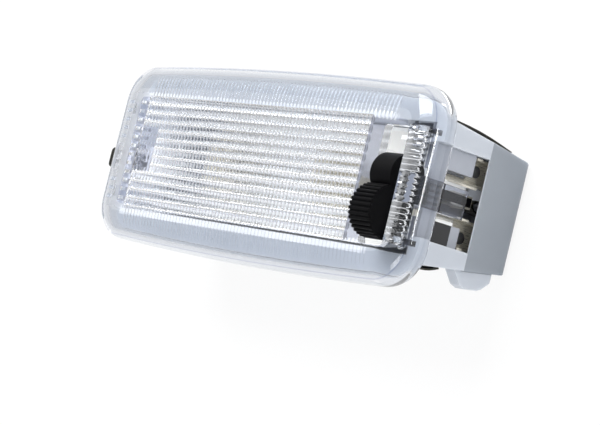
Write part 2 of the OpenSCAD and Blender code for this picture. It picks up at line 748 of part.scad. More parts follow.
// Rivets: round heads on shanks, one group
rivet_head_r = 1.5 * rivet_r;
rivet_head_h = 0.65 * rivet_r;
rivet_stop = 0.5 * post_l;
rivet_shank = web_x + strip_t - post_x0 - rivet_stop;
module rivets() color([0.78, 0.77, 0.74]) {
    for (sy = [-1, 1]) {
        bar(web_x + strip_t - rivet_shank, web_x + strip_t, rivet_r, sy * rivet_y, rivet_z);
        bar(web_x + strip_t, web_x + strip_t + rivet_head_h, rivet_head_r, sy * rivet_y, rivet_z);
    }
    for (sx = [-1, 1])
        translate([-bulb_x + sx * (bulb_l + foot_l) / 2, 0, reflector_floor + strip_t])
            cylinder(r = rivet_head_r, h = rivet_head_h);
}
// Cross-slotted screws through the base of the carrier
screw_head_r = 0.9 * screw_d;
screw_head_h = 0.55 * screw_d;
module carrier_screws() color([0.72, 0.72, 0.74]) {
    for (sy = [-1, 1])
        translate([screw_x, sy * screw_y, 0]) difference() {
            union() {
                translate([0, 0, floor_t / 3]) cylinder(d = screw_d, h = base_z - floor_t / 3);
                translate([0, 0, base_z]) cylinder(r = screw_head_r, h = screw_head_h);
            }
            for (a = [0, 90])
                rotate(a) translate([-0.6 * screw_d, -0.12 * screw_d, base_z + screw_head_h / 2])
                    cube([1.2 * screw_d, 0.24 * screw_d, screw_head_h]);
        }
}

// Retaining clip: foot in the pocket, bow past the end of the housing, tip through the lens
module retaining_clip() color([0.45, 0.45, 0.46]) {
    eye_r = clip_pin_r + pin_gap;
    tip_x = -lens_l / 2 - clip_out;
    foot_x = clip_foot_x - eye_r - clip_t;
    translate([0, -clip_y + clip_w / 2, 0]) rotate([90, 0, 0]) difference() {
        union() {
            translate([clip_foot_x, clip_foot_z, 0]) cylinder(r = eye_r + clip_t, h = clip_w);
            linear_extrude(clip_w) strip_2d([
                [foot_x + 0.1, clip_foot_z - 0.3], [foot_x - 0.2, clip_foot_z + 4],
                [-house_l / 2 - 1.6, seat_z - 11.5], [-house_l / 2 - 2, seat_z - 8.5],
                [-house_l / 2 + 0.2, seat_z - 2.4], [-house_l / 2 + 0.1, seat_z + 2],
                [-house_l / 2 - 0.9, notch_z + 1.1], [tip_x, notch_z + 1.3]
            ], -clip_t);
        }
        translate([clip_foot_x, clip_foot_z, -1]) cylinder(r = eye_r, h = clip_w + 2);
    }
}

// Thin steel strips that bow out along the housing's long sides
module side_spring(high, deep) {
    rotate([90, 0, 90]) translate([0, 0, house_l / 2 - end_lean - side_l]) linear_extrude(side_l)
        strip_2d([
            for (i = [0:6])
                let (z = seat_z - high - (deep - high) * i / 6)
                [house_half(z) + side_bow * sin(30 * i), z]
        ], side_t);
}
module side_spring_upper() color([0.4, 0.4, 0.41]) {
    side_spring(side_t, side_deep_high);
}
module side_spring_lower() color([0.4, 0.4, 0.41]) {
    mirror([0, 1, 0]) side_spring(side_t, side_deep_low);
}

lens();
housing();
reflector();
bulb_glass();
bulb_cap_left();
bulb_cap_right();
bulb_filament();
bulb_contact_left();
bulb_contact_right();
feed_strip();
rocker();
rocker_pin();
switch_carrier();
contact_upper();
contact_lower();
moving_contact();
detent_spring();
retaining_clip();
side_spring_upper();
side_spring_lower();
rivets();
carrier_screws();
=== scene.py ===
import json
import math

import bpy
import numpy as np
from mathutils import Matrix, Vector


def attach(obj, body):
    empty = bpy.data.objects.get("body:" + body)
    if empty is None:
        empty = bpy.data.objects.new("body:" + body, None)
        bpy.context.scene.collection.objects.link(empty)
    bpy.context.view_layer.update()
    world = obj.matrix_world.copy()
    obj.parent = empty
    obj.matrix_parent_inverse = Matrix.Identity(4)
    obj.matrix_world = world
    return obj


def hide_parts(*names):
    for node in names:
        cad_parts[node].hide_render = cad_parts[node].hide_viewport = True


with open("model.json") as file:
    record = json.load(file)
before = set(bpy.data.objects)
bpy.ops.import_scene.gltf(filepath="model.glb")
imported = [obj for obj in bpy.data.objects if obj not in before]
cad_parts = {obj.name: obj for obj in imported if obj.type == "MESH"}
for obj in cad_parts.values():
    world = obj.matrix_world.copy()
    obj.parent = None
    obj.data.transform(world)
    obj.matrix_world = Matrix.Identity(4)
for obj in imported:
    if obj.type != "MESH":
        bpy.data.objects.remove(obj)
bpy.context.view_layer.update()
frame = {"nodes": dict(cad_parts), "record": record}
nodes = frame["nodes"]
MM = 0.001

# Sizes in millimetres, as in the model of the part: the lens
LENGTH, WIDTH, HEIGHT, WALL = 117.0, 46.0, 8.0, 2.0
BOW, CORNER, SHOULDER = 1.4, 9.5, 8.5
SEAT, FACE_IN, FACE_OUT = 28.0, 34.0, 36.0
FLUTE_PITCH, FLUTES, FLUTE_FAR, FLUTE_NEAR = 2.15, 13, 46.6, 38.0
FINE_PITCH = 1.29
SLOT_X, SLOT_W, SLOT_LOW, SLOT_HIGH, SLOT_R = 48.1, 7.8, 14.12, 12.0, 1.0
TOOTH_PITCH = 1.3
# Heights of the fine ribs on the long sides and of the teeth by the switch, and how far both rows go
FINE_RIB, TOOTH = 0.09, 0.8
RIBBED_HALF, TOOTHED_HALF = 47, 13
# Rings of the hollow's skin, and how far in the last one lies
HOLLOW_RINGS, HOLLOW_INSET = 23, 9.1
# Depth of the flutes, of the fine ribs across them, and of both where they are shallowest
FLUTE, CROSS_RIB, THIN = 0.62, 0.22, 0.22
# Plain pad on the panel's inner face above the clip: its two sides in Y, its end in X and its height
PAD_LOW, PAD_HIGH, PAD_END, PAD_Z = -4.7, 6.3, -40.2, 33.0
# Rows of short ribs inside the far end of the rim, and the heights of their lower faces
END_RIBS, END_RIB_PITCH, END_RIB_HALF = 12, 2.2, 0.45
ROW_Z, PAD_ROW_Z = 33.1, 32.5
# Tongue behind the end of the housing, in X and Y, and the posts that snap in at the far end
TONGUE_X0, TONGUE_X1, TONGUE_Y0, TONGUE_Y1 = 53.2, 54.4, -4.0, 2.4
HOUSE_HALF = 54.5
POST_X, POST_T, POST_IN, POST_OUT, POST_Z = -HOUSE_HALF + 1.8, 1.2, 9.0, 12.0, 22.4
# Height inside the panel where tongue and posts end, and the notch for the clip's tip
ROOT_Z = 34.3
NOTCH_END, NOTCH_HALF, NOTCH_LOW, NOTCH_HIGH = -55.1, 3.1, 30.4, 33.0
# Clip: centre of its pin in X and Z, outer radius of its eye, thickness, width, middle, and reach of its tip
CLIP_PIN, CLIP_EYE, CLIP_T = (-52.3, 4.75), 1.35, 0.5
CLIP_W, CLIP_Y, CLIP_REACH, CLIP_TIP_Z = 5, -2, 61.9, 31.75
CLIP_BEND, CLIP_EDGE = 1.3, 0.1
# Half width of the housing at its back, with how much each side leans out for each mm of depth
SIDE_FOOT, SIDE_SLOPE = 12.8, 0.1214
# Ray depth past which a ray goes straight out of clear plastic
MOST_TURNS = 3.5
# Part of the noise's range that colours and roughness are spread over
NOISE_LOW, NOISE_HIGH = 0.3, 0.7
FLOOR_HALF = 3000


# ---------- meshes ----------

def add_mesh(name, points, faces):
    mesh = bpy.data.meshes.new(name)
    mesh.from_pydata([tuple(float(c) * MM for c in p) for p in points], [], faces)
    mesh.validate()
    mesh.update()
    obj = bpy.data.objects.new(name, mesh)
    bpy.context.scene.collection.objects.link(obj)
    return obj


def outline_points(side_steps, corner_steps, end_steps):
    """Points on the lens's outline with their inward normals, counter-clockwise, and what part each is on."""
    bow_r = ((LENGTH / 2) ** 2 + BOW ** 2) / (2 * BOW)
    corner_x = LENGTH / 2 - CORNER
    bow_y = WIDTH / 2 - bow_r
    corner_y = bow_y + math.sqrt((bow_r - CORNER) ** 2 - corner_x ** 2)
    bow_a = math.asin(corner_x / (bow_r - CORNER))
    out = []
    for i in range(end_steps):
        y = -corner_y + 2 * corner_y * i / end_steps
        out.append((LENGTH / 2, y, -1.0, 0.0, "end"))
    top = math.pi / 2 - bow_a
    for i in range(corner_steps):
        a = top * i / corner_steps
        out.append((corner_x + CORNER * math.cos(a), corner_y + CORNER * math.sin(a),
                    -math.cos(a), -math.sin(a), "corner"))
    for i in range(side_steps):
        a = top + 2 * bow_a * i / side_steps
        out.append((bow_r * math.cos(a), bow_y + bow_r * math.sin(a), -math.cos(a), -math.sin(a), "side"))
    for i in range(corner_steps):
        a = top * (1 - i / corner_steps)
        out.append((-corner_x - CORNER * math.cos(a), corner_y + CORNER * math.sin(a),
                    math.cos(a), -math.sin(a), "corner"))
    return out + [(-x, -y, -nx, -ny, part) for x, y, nx, ny, part in out]


def loft(name, ring_points):
    """Closed skin through rings of points, each ring a list of (x, y, z)."""
    n = len(ring_points[0])
    points = [p for ring in ring_points for p in ring]
    faces = []
    for r in range(len(ring_points) - 1):
        a, b = r * n, (r + 1) * n
        faces += [(a + j, a + (j + 1) % n, b + (j + 1) % n, b + j) for j in range(n)]
    faces.append(tuple(range(n - 1, -1, -1)))
    faces.append(tuple((len(ring_points) - 1) * n + j for j in range(n)))
    return add_mesh(name, points, faces)


def rim_inset(a):
    return SHOULDER * (1 - math.cos(a)) ** 1.6


def rim_height(a):
    return HEIGHT * (0.3 + 0.7 * math.sin(a))


def outer_skin():
    base = outline_points(36, 16, 6)
    rings = []
    for i in range(6):
        t = i / 6
        rings.append([(x + nx * 0.8 * (1 - t) ** 2, y + ny * 0.8 * (1 - t) ** 2, SEAT + HEIGHT * 0.3 * t)
                      for x, y, nx, ny, part in base])
    for i in range(31):
        a = math.radians(3 * i)
        rings.append([(x + nx * rim_inset(a), y + ny * rim_inset(a), SEAT + rim_height(a))
                      for x, y, nx, ny, part in base])
    return loft("lens_outer", rings)


def clamp(value):
    return min(1.0, max(0.0, value))


def ridge(u):
    """Round-backed rib with a sharp valley: 1 on the ridge, 0 in the valley."""
    u = u - math.floor(u) - 0.5
    return math.sqrt(max(0.0, 1 - (2 * u) ** 2 * 0.92))


def wedge(u):
    """Straight-sided tooth: 1 on the ridge, 0 in the valley."""
    return 1 - abs(2 * (u - math.floor(u)) - 1)


def inner_core():
    """The hollow of the lens, with fine ribs down both long sides and down the end by the switch."""
    side_steps = int(97 / FINE_PITCH * 5)
    base = outline_points(side_steps, 12, 95)
    rings = [[(x + nx * 2.8, y + ny * 2.8, SEAT - 1) for x, y, nx, ny, part in base]]
    for i in range(HOLLOW_RINGS):
        a = math.radians(5 * i if i < 12 else 60 + 3 * (i - 12) if i < HOLLOW_RINGS - 1 else 90)
        drop = WALL * math.sin(a)
        inset = WALL + rim_inset(a)
        # Slope of the hollow's skin, which the ribs stand on
        run = SHOULDER * 1.6 * (1 - math.cos(a)) ** 0.6 * math.sin(a)
        rise = (HEIGHT * 0.7 - WALL) * math.cos(a)
        tilt = math.atan2(run, rise)
        ring = []
        for x, y, nx, ny, part in base:
            d, z = min(inset, HOLLOW_INSET), SEAT + rim_height(a) - drop
            tall = 0.0
            if part == "side" and abs(x) < RIBBED_HALF:
                tall = FINE_RIB * (1 - math.cos(2 * math.pi * x / FINE_PITCH)) / 2 * clamp((inset - 3.6) / 0.6)
            if part == "end" and x > 0 and abs(y) < TOOTHED_HALF:
                tall = TOOTH * wedge(y / TOOTH_PITCH) * clamp((inset - 3.1) / 0.8)
                tall *= clamp((7.6 - inset) / 0.6)
            if i == HOLLOW_RINGS - 1:
                tall = 0.0
            d += tall * math.cos(tilt)
            ring.append((x + nx * d, y + ny * d, z - tall * math.sin(tilt)))
        rings.append(ring)
    return loft("lens_hollow", rings)


def panel_block():
    """Block under the face whose lower side has the long flutes and the fine ribs across them."""
    nx = int((FLUTE_FAR + FLUTE_NEAR) / FINE_PITCH * 6)
    ny = FLUTES * 10
    half = FLUTES * FLUTE_PITCH / 2
    xs = np.linspace(-FLUTE_FAR, FLUTE_NEAR, nx + 1)
    ys = np.linspace(-half, half, ny + 1)
    low = []
    for y in ys:
        flute = THIN + FLUTE * ridge(y / FLUTE_PITCH + 0.5)
        low += [(x, y, FACE_IN - flute - CROSS_RIB * ridge(x / FINE_PITCH)) for x in xs]
    w = nx + 1
    faces = [(j * w + i, (j + 1) * w + i, (j + 1) * w + i + 1, j * w + i + 1)
             for j in range(ny) for i in range(nx)]
    corners = [(xs[0], ys[0]), (xs[-1], ys[0]), (xs[-1], ys[-1]), (xs[0], ys[-1])]
    points = low + [(x, y, FACE_IN + 1.0) for x, y in corners]
    c = len(low)
    faces.append((c, c + 1, c + 2, c + 3))
    faces.append(tuple([c + 1, c] + list(range(0, w))))
    faces.append(tuple([c + 3, c + 2] + [ny * w + i for i in range(w - 1, -1, -1)]))
    faces.append(tuple([c, c + 3] + [j * w for j in range(ny, -1, -1)]))
    faces.append(tuple([c + 2, c + 1] + [j * w + nx for j in range(ny + 1)]))
    return add_mesh("lens_panel", points, faces)


def boxes(name, items):
    """Separate boxes in one mesh, each from a low and a high corner."""
    points, faces = [], []
    for (x0, y0, z0), (x1, y1, z1) in items:
        k = len(points)
        points += [(x0, y0, z0), (x1, y0, z0), (x1, y1, z0), (x0, y1, z0),
                   (x0, y0, z1), (x1, y0, z1), (x1, y1, z1), (x0, y1, z1)]
        faces += [(k + 3, k + 2, k + 1, k), (k + 4, k + 5, k + 6, k + 7), (k, k + 1, k + 5, k + 4),
                  (k + 1, k + 2, k + 6, k + 5), (k + 2, k + 3, k + 7, k + 6), (k + 3, k, k + 4, k + 7)]
    return add_mesh(name, points, faces)


def round_box(name, low, high, r, steps=6):
    """Upright prism with round corners in plan."""
    ring = []
    for cx, cy, start in ((high[0] - r, high[1] - r, 0), (low[0] + r, high[1] - r, 90),
                          (low[0] + r, low[1] + r, 180), (high[0] - r, low[1] + r, 270)):
        for i in range(steps + 1):
            a = math.radians(start + 90 * i / steps)
            ring.append((cx + r * math.cos(a), cy + r * math.sin(a)))
    return loft(name, [[(x, y, low[2]) for x, y in ring], [(x, y, high[2]) for x, y in ring]])


def combine(target, tool, operation):
    """Boolean of two closed meshes; the tool is removed."""
    mod = target.modifiers.new("join", "BOOLEAN")
    mod.object = tool
    mod.operation = operation
    mod.solver = "MANIFOLD"
    depsgraph = bpy.context.evaluated_depsgraph_get()
    mesh = bpy.data.meshes.new_from_object(target.evaluated_get(depsgraph))
    target.modifiers.clear()
    target.data = mesh
    bpy.data.objects.remove(tool)
    return target


def lens_piece():
    lens = outer_skin()
    combine(lens, inner_core(), "DIFFERENCE")
    combine(lens, panel_block(), "UNION")
    ribs = []
    for i in range(END_RIBS):
        y = (i - (END_RIBS - 1) / 2) * END_RIB_PITCH
        y0, y1 = y - END_RIB_HALF, y + END_RIB_HALF
        ribs.append(((-49.7, y0, ROW_Z), (-47.6, y1, 34.4)))
        if PAD_LOW < y < PAD_HIGH:
            ribs.append(((-46.5, y0, PAD_ROW_Z), (-44.4, y1, 33.2)))
        # The ribs by the clip are short, to leave its way free
        ribs.append(((-55.5, y0, 29.9 if abs(y - CLIP_Y) > 3.9 else ROW_Z), (-52.9, y1, 34.2)))
    for side in (-1, 1):
        ribs.append(((53.1, side * 12 - 0.6, 29.9), (55.1, side * 12 + 0.6, 34.2)))
    ribs.append(((-FLUTE_FAR - 0.3, PAD_LOW, PAD_Z), (PAD_END, PAD_HIGH, 34.4)))
    combine(lens, boxes("lens_ribs", ribs), "UNION")
    combine(lens, boxes("lens_tongues", [
        ((TONGUE_X0, TONGUE_Y0, 17.5), (TONGUE_X1, TONGUE_Y1, ROOT_Z)),
        ((POST_X, POST_IN, POST_Z), (POST_X + POST_T, POST_OUT, ROOT_Z)),
        ((POST_X, -POST_OUT, POST_Z), (POST_X + POST_T, -POST_IN, ROOT_Z)),
    ]), "UNION")
    combine(lens, boxes("lens_hooks", [
        ((TONGUE_X0 - 0.8, TONGUE_Y0, 23.8), (TONGUE_X0 + 0.1, TONGUE_Y1, 24.8)),
        ((POST_X - 0.8, POST_IN, POST_Z), (POST_X + 0.1, POST_OUT, POST_Z + 1)),
        ((POST_X - 0.8, -POST_OUT, POST_Z), (POST_X + 0.1, -POST_IN, POST_Z + 1)),
    ]), "UNION")
    combine(lens, round_box("lens_slot", (SLOT_X - SLOT_W / 2, -SLOT_LOW, 32.6),
                            (SLOT_X + SLOT_W / 2, SLOT_HIGH, 40), SLOT_R), "DIFFERENCE")
    # Way for the clip's tip
    combine(lens, boxes("lens_notch", [((-60, CLIP_Y - NOTCH_HALF, NOTCH_LOW),
                                        (NOTCH_END, CLIP_Y + NOTCH_HALF, NOTCH_HIGH))]), "DIFFERENCE")
    lens.name = "clear_lens"
    lens.data.name = "clear_lens"
    lens.data.shade_smooth()
    lens.data.set_sharp_from_angle(angle=math.radians(38))
    return lens


def clip_strip():
    """Spring steel clip: eye rolled round its pin, bow past the end of the housing, tip out of the lens."""
    path = [(CLIP_PIN[0] + CLIP_EYE * math.cos(a), CLIP_PIN[1] + CLIP_EYE * math.sin(a))
            for a in np.radians(np.linspace(470, 190, 36))]
    corners = [(CLIP_PIN[0] - CLIP_EYE - 0.03, CLIP_PIN[1] + 0.4), (-53.85, 8.75), (-56.1, 16.5), (-56.5, 19.5),
               (-54.3, 25.6), (-54.4, 30.0), (-55.4, 31.5), (-CLIP_REACH, CLIP_TIP_Z)]
    corners = [np.array(corner) for corner in corners]
    for before, at, after in zip(corners, corners[1:], corners[2:]):
        back, onward = before - at, after - at
        back_l, onward_l = np.linalg.norm(back), np.linalg.norm(onward)
        reach = min(CLIP_BEND, 0.42 * back_l, 0.42 * onward_l)
        enter, leave = at + back / back_l * reach, at + onward / onward_l * reach
        path += [tuple((1 - t) ** 2 * enter + 2 * t * (1 - t) * at + t * t * leave) for t in np.linspace(0, 1, 7)]
    # The tip's two corners are round: what is left of the strip's length at each of its last points
    tip = (1.0, 0.6, 0.3, 0.1, 0.0)
    path = np.array(path + [(-CLIP_REACH + left, CLIP_TIP_Z) for left in tip])
    left = np.concatenate([np.ones(len(path) - len(tip)), tip])
    half_widths = CLIP_W / 2 - 1 + np.sqrt(np.clip(1 - (1 - left) ** 2, 0, 1))
    ahead = np.gradient(path, axis=0)
    ahead /= np.linalg.norm(ahead, axis=1)[:, None]
    points = []
    for (x, z), (dx, dz), w in zip(path, ahead, half_widths):
        flat, deep = w - CLIP_EDGE, CLIP_T - CLIP_EDGE
        section = ((0, -flat), (0, flat), (CLIP_EDGE, w), (deep, w),
                   (CLIP_T, flat), (CLIP_T, -flat), (deep, -w), (CLIP_EDGE, -w))
        points += [(x + dz * depth, CLIP_Y + side, z - dx * depth) for depth, side in section]
    faces = [tuple(range(8)), tuple(range(len(points) - 1, len(points) - 9, -1))]
    for i in range(0, len(points) - 8, 8):
        faces += [(i + j, i + 8 + j, i + 8 + (j + 1) % 8, i + (j + 1) % 8) for j in range(8)]
    return add_mesh("clip_strip", points, faces)


# ---------- materials ----------

def new_material(name):
    mat = bpy.data.materials.new(name)
    mat.use_nodes = True
    tree = mat.node_tree
    return mat, tree, tree.nodes["Principled BSDF"]


def math_node(tree, operation, *values):
    """Result of a Math node. Each value is a socket to link or a plain number."""
    node = tree.nodes.new("ShaderNodeMath")
    node.operation = operation
    for socket, value in zip(node.inputs, values):
        if isinstance(value, (int, float)):
            socket.default_value = value
        else:
            tree.links.new(value, socket)
    return node.outputs[0]


def position(tree, kind="Object"):
    """Sockets for X, Y and Z of the point that is shaded, in metres in the part's frame."""
    coords = tree.nodes.new("ShaderNodeTexCoord")
    split = tree.nodes.new("ShaderNodeSeparateXYZ")
    tree.links.new(coords.outputs[kind], split.inputs[0])
    return split.outputs


def remap(tree, value, start, end, low=0.0, high=1.0):
    """Takes start to low and end to high, and holds the result there outside them."""
    node = tree.nodes.new("ShaderNodeMapRange")
    for key, number in (("From Min", start), ("From Max", end), ("To Min", low), ("To Max", high)):
        node.inputs[key].default_value = number
    tree.links.new(value, node.inputs["Value"])
    return node.outputs["Result"]


def mix_shaders(tree, factor, first, second):
    mix = tree.nodes.new("ShaderNodeMixShader")
    for socket, value in zip(mix.inputs, (factor, first, second)):
        tree.links.new(value, socket)
    return mix.outputs[0]


def noise(tree, scale, detail=3.0, stretch=None):
    coords = tree.nodes.new("ShaderNodeTexCoord").outputs["Object"]
    tex = tree.nodes.new("ShaderNodeTexNoise")
    tex.inputs["Scale"].default_value = scale
    tex.inputs["Detail"].default_value = detail
    if stretch:
        mapping = tree.nodes.new("ShaderNodeMapping")
        mapping.inputs["Scale"].default_value = stretch
        tree.links.new(coords, mapping.inputs["Vector"])
        coords = mapping.outputs["Vector"]
    tree.links.new(coords, tex.inputs["Vector"])
    return tex.outputs["Fac"]


def tone(tree, tex, low, high):
    """Mottled colour between two."""
    ramp = tree.nodes.new("ShaderNodeValToRGB")
    for element, place, color in zip(ramp.color_ramp.elements, (NOISE_LOW, NOISE_HIGH), (low, high)):
        element.position = place
        element.color = (*color, 1)
    tree.links.new(tex, ramp.inputs["Fac"])
    return ramp.outputs["Color"]


def roughen(tree, bsdf, tex, low, high):
    tree.links.new(remap(tree, tex, NOISE_LOW, NOISE_HIGH, low, high), bsdf.inputs["Roughness"])


def add_bump(tree, bsdf, tex, strength, distance):
    bump = tree.nodes.new("ShaderNodeBump")
    bump.inputs["Strength"].default_value = strength
    bump.inputs["Distance"].default_value = distance
    tree.links.new(tex, bump.inputs["Height"])
    tree.links.new(bump.outputs["Normal"], bsdf.inputs["Normal"])


def inside_box(tree, low, high):
    """1 inside a box given in millimetres in the part's frame, 0 outside it. None leaves a side open."""
    place = position(tree)
    product = None
    for axis in range(3):
        for limit, test in ((low[axis], "GREATER_THAN"), (high[axis], "LESS_THAN")):
            if limit is not None:
                step = math_node(tree, test, place[axis], limit * MM)
                product = step if product is None else math_node(tree, "MULTIPLY", product, step)
    return product


def blend_colors(tree, mask, outside, within):
    mix = tree.nodes.new("ShaderNodeMix")
    mix.data_type = "RGBA"
    for key, value in (("Factor", mask), ("A", outside), ("B", within)):
        tree.links.new(value, mix.inputs[key])
    return mix.outputs["Result"]


def zoned(tree, tex, low, high, zones):
    """Mottled colour with other tones inside some boxes."""
    color = tone(tree, tex, low, high)
    for zone_low, zone_high, dark, light in zones:
        color = blend_colors(tree, inside_box(tree, zone_low, zone_high), color, tone(tree, tex, dark, light))
    return color


def plastic(name, low, high, rough, grain=900, bump=0.15, specular=0.5, zones=()):
    mat, tree, bsdf = new_material(name)
    tex = noise(tree, 60)
    tree.links.new(zoned(tree, tex, low, high, zones), bsdf.inputs["Base Color"])
    roughen(tree, bsdf, tex, *rough)
    bsdf.inputs["Specular IOR Level"].default_value = specular
    add_bump(tree, bsdf, noise(tree, grain, 2.0), bump, 0.00005)
    return mat


def metal(name, low, high, rough, stretch=(1, 1, 1), scale=300, bump=0.1, metallic=1.0, zones=()):
    mat, tree, bsdf = new_material(name)
    lines = noise(tree, scale, 3.0, stretch)
    tree.links.new(zoned(tree, noise(tree, 90), low, high, zones), bsdf.inputs["Base Color"])
    roughen(tree, bsdf, lines, *rough)
    bsdf.inputs["Metallic"].default_value = metallic
    add_bump(tree, bsdf, lines, bump, 0.00004)
    return mat


def clear(name, color, rough, ior=1.49, through_color=(0.993, 0.996, 1.0)):
    """Clear plastic or glass. Lamps and soft light reach what is inside through it."""
    mat, tree, bsdf = new_material(name)
    tex = noise(tree, 45)
    bsdf.inputs["Base Color"].default_value = (*color, 1)
    bsdf.inputs["Transmission Weight"].default_value = 1.0
    bsdf.inputs["IOR"].default_value = ior
    roughen(tree, bsdf, tex, *rough)
    add_bump(tree, bsdf, tex, 0.04, 0.0004)
    path = tree.nodes.new("ShaderNodeLightPath").outputs
    lighting = math_node(tree, "MAXIMUM", path["Is Shadow Ray"], path["Is Diffuse Ray"])
    # A ray that is caught inside the plastic leaves it after a few turns
    caught = math_node(tree, "GREATER_THAN", path["Ray Depth"], MOST_TURNS)
    through = tree.nodes.new("ShaderNodeBsdfTransparent")
    through.inputs["Color"].default_value = (*through_color, 1)
    mixed = mix_shaders(tree, math_node(tree, "MAXIMUM", lighting, caught), bsdf.outputs[0], through.outputs[0])
    tree.links.new(mixed, tree.nodes["Material Output"].inputs["Surface"])
    return mat


def toothed_clear(name, ridge_color, valley_color, rough):
    """The clear plastic of the teeth by the switch, with painted shade: a dark tint, darker still in the valley
    between each two.
    """
    mat = clear(name, ridge_color, rough)
    tree = mat.node_tree
    turn = math_node(tree, "MULTIPLY", position(tree)["Y"], 2 * math.pi / (TOOTH_PITCH * MM))
    # Painted shade: darker colour in each valley between two teeth
    valley_painted_shade = remap(tree, math_node(tree, "COSINE", turn), -0.25, 0.35)
    ends = []
    for color in (ridge_color, valley_color):
        node = tree.nodes.new("ShaderNodeRGB")
        node.outputs[0].default_value = (*color, 1)
        ends.append(node.outputs[0])
    tree.links.new(blend_colors(tree, valley_painted_shade, *ends), tree.nodes["Principled BSDF"].inputs["Base Color"])
    return mat


def housing_material():
    """Pale moulded plastic, greyer on the switch end below the window's sill, with painted light inside: the
    inner faces are near white.
    """
    mat, tree, bsdf = new_material("housing_plastic")
    tex = noise(tree, 40)
    pale = tone(tree, tex, (0.47, 0.50, 0.55), (0.52, 0.55, 0.60))
    grey = tone(tree, tex, (0.24, 0.265, 0.30), (0.28, 0.305, 0.34))
    painted_light_inside = tone(tree, tex, (0.80, 0.83, 0.88), (0.86, 0.88, 0.92))
    place = position(tree)

    def within_side(distance, limit):
        """1 where a distance is under the limit after the slope of the side walls is taken off."""
        level = math_node(tree, "MULTIPLY_ADD", place["Z"], -SIDE_SLOPE, distance)
        return math_node(tree, "LESS_THAN", level, limit * MM)

    # The greyer part stops at the snap tab, which stands out past the sloping side
    greyer_end = math_node(tree, "MULTIPLY", inside_box(tree, (50.0, None, None), (None, None, 13.6)),
                     within_side(math_node(tree, "MULTIPLY", place["Y"], -1.0), SIDE_FOOT))
    color = blend_colors(tree, greyer_end, pale, grey)
    # Painted light: the inside is painted near white, brighter than the same plastic outside, so it stands out
    # under the clear lens
    inside = math_node(tree, "MULTIPLY", inside_box(tree, (-54.0, None, 14.0), (41.0, None, None)),
                       within_side(math_node(tree, "ABSOLUTE", place["Y"]), SIDE_FOOT - 0.6))
    color = blend_colors(tree, inside, color, painted_light_inside)
    tree.links.new(color, bsdf.inputs["Base Color"])
    roughen(tree, bsdf, tex, 0.32, 0.42)
    bsdf.inputs["Subsurface Weight"].default_value = 0.6
    bsdf.inputs["Subsurface Radius"].default_value = (1.0, 1.0, 1.0)
    bsdf.inputs["Subsurface Scale"].default_value = 0.003
    add_bump(tree, bsdf, noise(tree, 1100, 2.0), 0.12, 0.00005)
    return mat


MATERIALS = {
    "housing": housing_material(),
    "reflector": plastic("white_plastic", (0.94, 0.945, 0.95), (0.965, 0.97, 0.975), (0.25, 0.35)),
    # Carrier: its grey base is painted shade, its near-white top above z 24.9 mm and short of X 50 mm is painted
    # light, and two near-black patches sit on its front by the window
    "carrier": plastic("carrier_plastic_painted_shade_and_light", (0.32, 0.34, 0.38), (0.38, 0.40, 0.45), (0.3, 0.42), zones=(
        ((None, None, 24.9), (50.0, None, None), (0.965, 0.97, 0.975), (0.985, 0.988, 0.99)),
        ((51.5, -4.0, 28.0), (None, 2.0, None), (0.01, 0.01, 0.012), (0.02, 0.02, 0.024)),
        ((50.5, None, 18.6), (None, -3.5, 25.0), (0.01, 0.01, 0.012), (0.02, 0.02, 0.024)),
    )),
    "black_plastic": plastic("black_plastic", (0.002, 0.002, 0.0025), (0.004, 0.004, 0.005), (0.42, 0.58),
                             grain=1600, bump=0.25, specular=0.06),
    "brass": metal("plated_brass", (0.66, 0.62, 0.52), (0.82, 0.78, 0.67), (0.22, 0.4), (6, 6, 0.5), scale=700,
                   bump=0.25, metallic=0.4),
    # Painted light: steel between X -57.4 and -50 mm, the clip where it shows through the lens, is painted pale;
    # its tip past -57.4 mm stays dark
    "steel": metal("spring_steel_painted_light", (0.03, 0.029, 0.026), (0.07, 0.067, 0.06), (0.3, 0.5), (1, 8, 1), zones=(
        ((-57.4, None, None), (-50.0, None, None), (0.70, 0.71, 0.74), (0.80, 0.81, 0.84)),
    )),
    "bulb_metal": metal("nickel_plate", (0.6, 0.58, 0.54), (0.72, 0.7, 0.66), (0.14, 0.28)),
    "filament": metal("tungsten", (0.2, 0.2, 0.2), (0.3, 0.3, 0.3), (0.4, 0.55), scale=3000, bump=0.5),
    "bulb_glass": clear("bulb_glass", (0.98, 0.99, 1.0), (0.0, 0.02), ior=1.5),
    "lens": clear("lens_plastic", (0.99, 0.992, 1.0), (0.015, 0.05)),
}

slot_of = {row["node"]: row["material_slot"] for row in frame["record"]["subparts"]}
for name, obj in nodes.items():
    mat = MATERIALS[slot_of[name]]
    if not obj.material_slots:
        obj.data.materials.append(mat)
    for i in range(len(obj.material_slots)):
        obj.material_slots[i].material = mat


